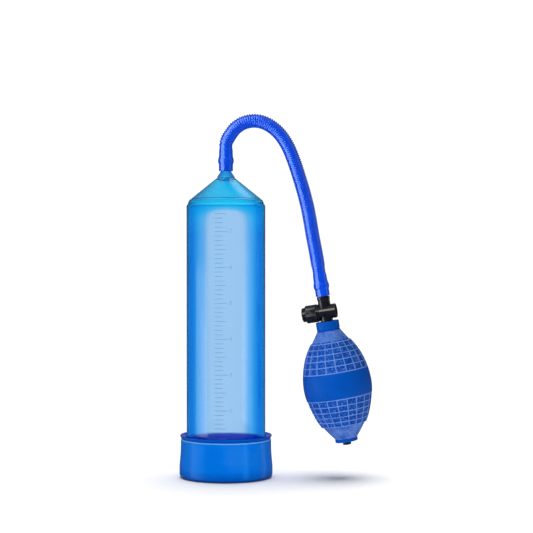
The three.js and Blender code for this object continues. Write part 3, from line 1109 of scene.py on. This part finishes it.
def fluted(angle, radius, height):
    """The cap's flutes: shallow grooves along its outside."""
    if radius < FLUTES_OUTSIDE or not KNURL[0] <= height <= KNURL[1]:
        return 0
    return -FLUTE_DEPTH * (1 + math.cos(FLUTES * angle)) / 2


turned_piece("knurled_cap", [
    (1.3, -10.5),
    (5.5, -10.5, 0.2),
    (5.5, -14.3, 0.15),
    (6.3, -14.3, 0.2),
    (6.5, -14.0),
    (6.5, -13.7),
    (6.5, -13.55),
    (6.5, -6.55),
    (6.5, -6.4),
    (6.5, -5.9, 0.3),
    (4.3, -5.9),
    (4.3, -9.3),
    (1.3, -9.3),
], CAP_SEGMENTS, VALVE, BLACK, "bulb", "valve_cap", fluting=fluted)
turned_piece("push_button", [
    (0, -17.3),
    (3.6, -17.25),
    (4.6, -17.1),
    (5.2, -16.7, 0.3),
    (5.2, -15, 0.25),
    (4.3, -15),
    (4.3, -13, 0.15),
    (3.4, -13, 0.15),
    (3.4, -15.3),
    (2, -15.3),
    (2, -13.9, 0.1),
    (1.15, -13.9),
    (1.15, -16.1),
    (0, -16.1),
], BUTTON_SEGMENTS, VALVE, BLACK, "button", "release_button")
turned_piece("plunger_rod", [
    (0, -15.95),
    (1, -15.95, 0.15),
    (1, 4.85),
    (2.7, 4.85, 0.1),
    (2.7, 5.6, 0.2),
    (0, 5.6),
], BORE_SEGMENTS, VALVE, BLACK, "button", "valve_plunger")


def o_ring(name, node, along, major, minor, body, steps=16):
    """A ring of round section at a place along the valve's axis."""
    turns = [2 * math.pi * step / steps for step in range(steps)]
    section = [(major + minor * math.cos(turn), along + minor * math.sin(turn)) for turn in turns]
    dress(shape(name, turned(section, SMALL_SEGMENTS), VALVE, crease=60), SEAL, body, node)


o_ring("plunger_o_ring", "plunger_seal", 4.22, 2.05, 0.5, "button")
o_ring("stem_o_ring", "stem_seal", -7.7, 1.65, 0.55, "bulb")

SPRING_RADIUS, WIRE_RADIUS, SPRING_TURNS = 2.5, 0.2, 4
SPRING_LEFT, SPRING_RIGHT = -15.05, -10.75


def button_spring(sides=10, steps=36):
    """A helix of round wire, closed by a pole at each end."""
    low, high = SPRING_LEFT + WIRE_RADIUS, SPRING_RIGHT - WIRE_RADIUS
    count = SPRING_TURNS * steps

    def outward(step):
        angle = 2 * math.pi * step / steps
        return Vector((math.cos(angle), math.sin(angle), 0))

    def centre(step):
        return SPRING_RADIUS * outward(step) + Vector((0, 0, low + (high - low) * step / count))

    def section(step):
        tangent = (centre(step + 1) - centre(step - 1)).normalized()
        across = tangent.cross(outward(step))
        turns = [2 * math.pi * side / sides for side in range(sides)]
        return [
            centre(step) + WIRE_RADIUS * (math.cos(turn) * outward(step) + math.sin(turn) * across)
            for turn in turns
        ]

    rings = [[centre(0)], *[section(step) for step in range(count + 1)], [centre(count)]]
    spring = shape("coil_spring", rings, VALVE, closed=False, crease=60)
    dress(spring, STEEL, "bulb", "button_spring")
    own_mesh(spring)


button_spring()

# ---- Check valves ----

NOTCH = (8, 1, 75.8, 77.4)  # length, width, low end and high end
FLOOR_RIB = (1.6, 0.8, 0.7, 1.5)  # the same
FLOOR_RIB_AT = 2.4  # its middle, from the axis


def check_disc(name, node, foot):
    """A rubber disc, a little hollow underneath, in a body of its own."""
    turned_piece(name, [
        (0, foot + 0.15),
        (1.9, foot + 0.15),
        (2.1, foot),
        (2.6, foot, 0.15),
        (2.6, foot + 0.8, 0.2),
        (0, foot + 0.8),
    ], SMALL_SEGMENTS, BULB, SEAL, node, node)


check_disc("inlet_check_disc", "inlet_disc", 76.9)
check_disc("exhaust_check_disc", "exhaust_disc", 1.8)
turned_piece("exhaust_seat_ring", [
    (1.4, 3.8, 0.15),
    (2.8, 3.8, 0.15),
    (2.8, 8, 0.15),
    (1.4, 8, 0.15),
], SMALL_SEGMENTS, BULB, BLACK, "bulb", "exhaust_seat")


def box_rings(length, width, low, high):
    """Rings of a plain box with its top and bottom closed by poles."""
    right, back = length / 2, width / 2
    corners = [(-right, -back), (right, -back), (right, back), (-right, back)]
    loops = [[(x, y, z) for x, y in corners] for z in (low, high)]
    return [[(0, 0, low)], *loops, [(0, 0, high)]]


def inlet_cage():
    """A ring with two crossed notches in its top, for the air to pass the lifted disc."""
    outline = [(1.5, 70, 0.15), (2.8, 70, 0.2), (2.8, 76.6, 0.1), (1.5, 76.6, 0.1)]
    cage = shape("inlet_cage_ring", turned(rounded(outline), SMALL_SEGMENTS), UNMOVED)
    notches = []
    for turn in (0, math.pi / 2):
        place = Matrix.Rotation(turn, 4, "Z")
        notches.append(shape("notch", box_rings(*NOTCH), place, closed=False))
    combined(cage, notches, "DIFFERENCE")
    cage.data.transform(BULB)
    dress(cage, BLACK, "bulb", "inlet_cage")


def exhaust_valve_body():
    """The tail valve's shell, with four ribs on its floor that hold the disc off it."""
    outline = [
        (1.2, -5, 0.15),
        (3, -5, 0.3),
        (3, -0.2),
        (4.3, -0.2, 0.2),
        (4.3, 8, 0.2),
        (3.1, 8, 0.15),
        (3.1, 1),
        (1.2, 1),
    ]
    shell = shape("tail_valve_shell", turned(rounded(outline), SMALL_SEGMENTS), UNMOVED)
    ribs = []
    for quarter in range(4):
        place = Matrix.Rotation(quarter * math.pi / 2, 4, "Z") @ Matrix.Translation((FLOOR_RIB_AT, 0, 0))
        ribs.append(shape("rib", box_rings(*FLOOR_RIB), place, closed=False))
    combined(shell, ribs, "UNION")
    shell.data.transform(BULB)
    smooth(shell.data)
    dress(shell, BLACK, "bulb", "exhaust_valve_body")


inlet_cage()
exhaust_valve_body()

# ---- Floor and light ----

WHITE = 1.1  # the backdrop's brightness, just past white
SIDES, BACK, TOP, BELOW = 0.06, 0.3, 0.5, 0.1  # the room's brightness in reflections and as light
FLOOR_SIZE = 1.6
SUN_STRENGTH, SUN_SPREAD = 2.9, 50  # the soft light from overhead, spread over that many degrees
SUN_TILT = 9  # degrees that it leans from straight overhead to the back
AIM_HEIGHT = 0.15  # the height that every softbox is aimed at
BOUNCES = 24
GLOSS, MATT = ["gloss"], ["matt"]

# Where softboxes stand: the bearing in degrees to the camera's right, then in metres the height, the distance
# and the box's own width and height.
LOW_LEFT = (-75, -0.15, 1.0, (0.73, 0.7))
LOW_LEFT_CORE = (-66, -0.2, 1.0, (0.4, 0.6))
NEAR_LEFT = (-60, 0.25, 0.5, (0.55, 1.8))
FRONT_LEFT = (-32, 0.8, 1.2, (0.8, 0.6))
FRONT = (-15, 0.75, 1.2, (0.8, 0.6))
LOW_RIGHT = (50, -0.15, 1.0, (0.16, 0.7))
HIGH_RIGHT = (75, 0.4, 1.0, (0.5, 0.5))
NEAR_RIGHT = (85, 0.25, 0.5, (0.4, 1.8))
FAR_RIGHT = (108, 0.3, 1.0, (0.2, 1.6))
OVER_RIGHT = (143, 1.34, 0.8, (0.5, 0.7))
BEHIND = (160, 0.75, 1.2, (0.8, 0.6))


def add_floor():
    """A plain white floor, matt, which gloss doesn't mirror."""
    half = FLOOR_SIZE / 2
    corners = [(-half, -half, 0), (half, -half, 0), (half, half, 0), (-half, half, 0)]
    floor = placed("floor", corners, [(0, 1, 2, 3)], UNMOVED)
    white = bpy.data.materials.new("floor_white")
    white.use_nodes = True
    shader = white.node_tree.nodes["Principled BSDF"]
    shader.inputs["Base Color"].default_value = (0.92, 0.92, 0.92, 1)
    shader.inputs["Roughness"].default_value = 0.9
    shader.inputs["Specular IOR Level"].default_value = 0.0
    floor.data.materials.append(white)
    floor.visible_glossy = False
    return floor


def add_world():
    """A dim room, brighter above, behind and below, but plain white to the eye and through clear plastic."""
    world = bpy.data.worlds.new("studio")
    world.use_nodes = True
    tree = world.node_tree
    direction = add_node(tree, "ShaderNodeTexCoord").outputs["Generated"]
    _, y, z = add_node(tree, "ShaderNodeSeparateXYZ", {"Vector": direction}).outputs
    back = ranged(tree, y, SIDES, BACK, start=0.92, end=0.98)
    top = ranged(tree, z, SIDES, TOP, start=0.3, end=0.9)
    below = ranged(tree, z, BELOW, SIDES, start=-0.5, end=-0.1)
    room = calculated(tree, "MAXIMUM", calculated(tree, "MAXIMUM", back, top), below)
    rays = add_node(tree, "ShaderNodeLightPath").outputs
    seen = calculated(tree, "MAXIMUM", rays["Is Camera Ray"], rays["Is Transmission Ray"])
    strength = calculated(tree, "MAXIMUM", room, calculated(tree, "MULTIPLY", seen, WHITE))
    tree.links.new(strength, tree.nodes["Background"].inputs["Strength"])
    tree.nodes["Background"].inputs["Color"].default_value = (1, 1, 1, 1)
    scene.world = world


def collection_of(name, objects):
    """A collection for lights to be linked to. It isn't part of the scene's own."""
    made = bpy.data.collections.new(name)
    for obj in objects:
        made.objects.link(obj)
    return made


def add_sun(receivers):
    """A large soft light overhead, which draws the shadows on the floor."""
    light = bpy.data.lights.new("overhead", "SUN")
    light.energy = SUN_STRENGTH
    light.angle = math.radians(SUN_SPREAD)
    obj = bpy.data.objects.new("overhead", light)
    obj.rotation_euler.x = math.radians(-SUN_TILT)
    obj.light_linking.receiver_collection = receivers
    scene.collection.objects.link(obj)


def add_softbox(name, place, radiance, receivers, kinds):
    """A rectangular area light on some pieces only. Clear plastic doesn't shade it."""
    bearing, height, distance, size = place
    light = bpy.data.lights.new(name, "AREA")
    light.shape = "RECTANGLE"
    light.size, light.size_y = size
    light.energy = radiance * math.pi * size[0] * size[1]
    obj = bpy.data.objects.new(name, light)
    turn = math.radians(bearing)
    obj.location = (distance * math.sin(turn), -distance * math.cos(turn), height)
    target = Vector((0, 0, AIM_HEIGHT))
    obj.rotation_euler = (target - obj.location).to_track_quat("-Z", "Y").to_euler()
    obj.visible_camera = False
    obj.visible_transmission = False
    obj.visible_diffuse = "matt" in kinds
    obj.visible_glossy = "gloss" in kinds
    obj.light_linking.receiver_collection = receivers
    obj.light_linking.blocker_collection = OPAQUE
    scene.collection.objects.link(obj)


pieces = {obj.name: obj for obj in scene.objects if obj.type == "MESH"}
floor = add_floor()
add_world()
FLOOR = collection_of("stage", [floor])
HOSE = collection_of("hose", [pieces.pop(name) for name in ("corrugated_hose", "upper_cuff", "lower_cuff")])
CONE = collection_of("cone", [pieces.pop("clear_cone")])
TUBE = collection_of("tube", [pieces.pop("clear_tube"), pieces.pop("ruler")])
RUBBER_BULB = collection_of("bulb", [pieces.pop("rubber_bulb")])
RUBBER_SLEEVE = collection_of("sleeve", [pieces["rubber_sleeve"]])
REST = collection_of("rest", pieces.values())
OPAQUE = collection_of("opaque", [*REST.objects, *HOSE.objects, *RUBBER_BULB.objects])
add_sun(FLOOR)
# Name, place, radiance, what it lights, and whether it shows in gloss, on matt surfaces or both.
SOFTBOXES = [
    ("left", LOW_LEFT, 2.6, REST, GLOSS),
    ("right", FAR_RIGHT, 1.2, REST, GLOSS),
    ("front", FRONT, 6.5, REST, GLOSS + MATT),
    ("behind", BEHIND, 4, REST, MATT),
    ("sleeve_strip", LOW_RIGHT, 6, RUBBER_SLEEVE, GLOSS),
    ("sleeve_right", HIGH_RIGHT, 2.5, RUBBER_SLEEVE, MATT),
    ("tube_left", LOW_LEFT, 1.4, TUBE, GLOSS),
    ("tube_left_core", LOW_LEFT_CORE, 1.2, TUBE, GLOSS),
    ("cone_right", OVER_RIGHT, 1.3, CONE, GLOSS),
    ("hose_front", FRONT, 6.5, HOSE, MATT),
    ("hose_behind", BEHIND, 4, HOSE, MATT),
    ("hose_left", NEAR_LEFT, 7, HOSE, GLOSS),
    ("hose_right", NEAR_RIGHT, 0.8, HOSE, GLOSS),
    ("bulb_front", FRONT_LEFT, 6.8, RUBBER_BULB, GLOSS + MATT),
    ("bulb_left", LOW_LEFT, 2.6, RUBBER_BULB, GLOSS),
    ("bulb_behind", BEHIND, 2, RUBBER_BULB, MATT),
]
for softbox in SOFTBOXES:
    add_softbox(*softbox)
scene.view_settings.view_transform = "Standard"
scene.cycles.max_bounces = BOUNCES
scene.cycles.transmission_bounces = BOUNCES
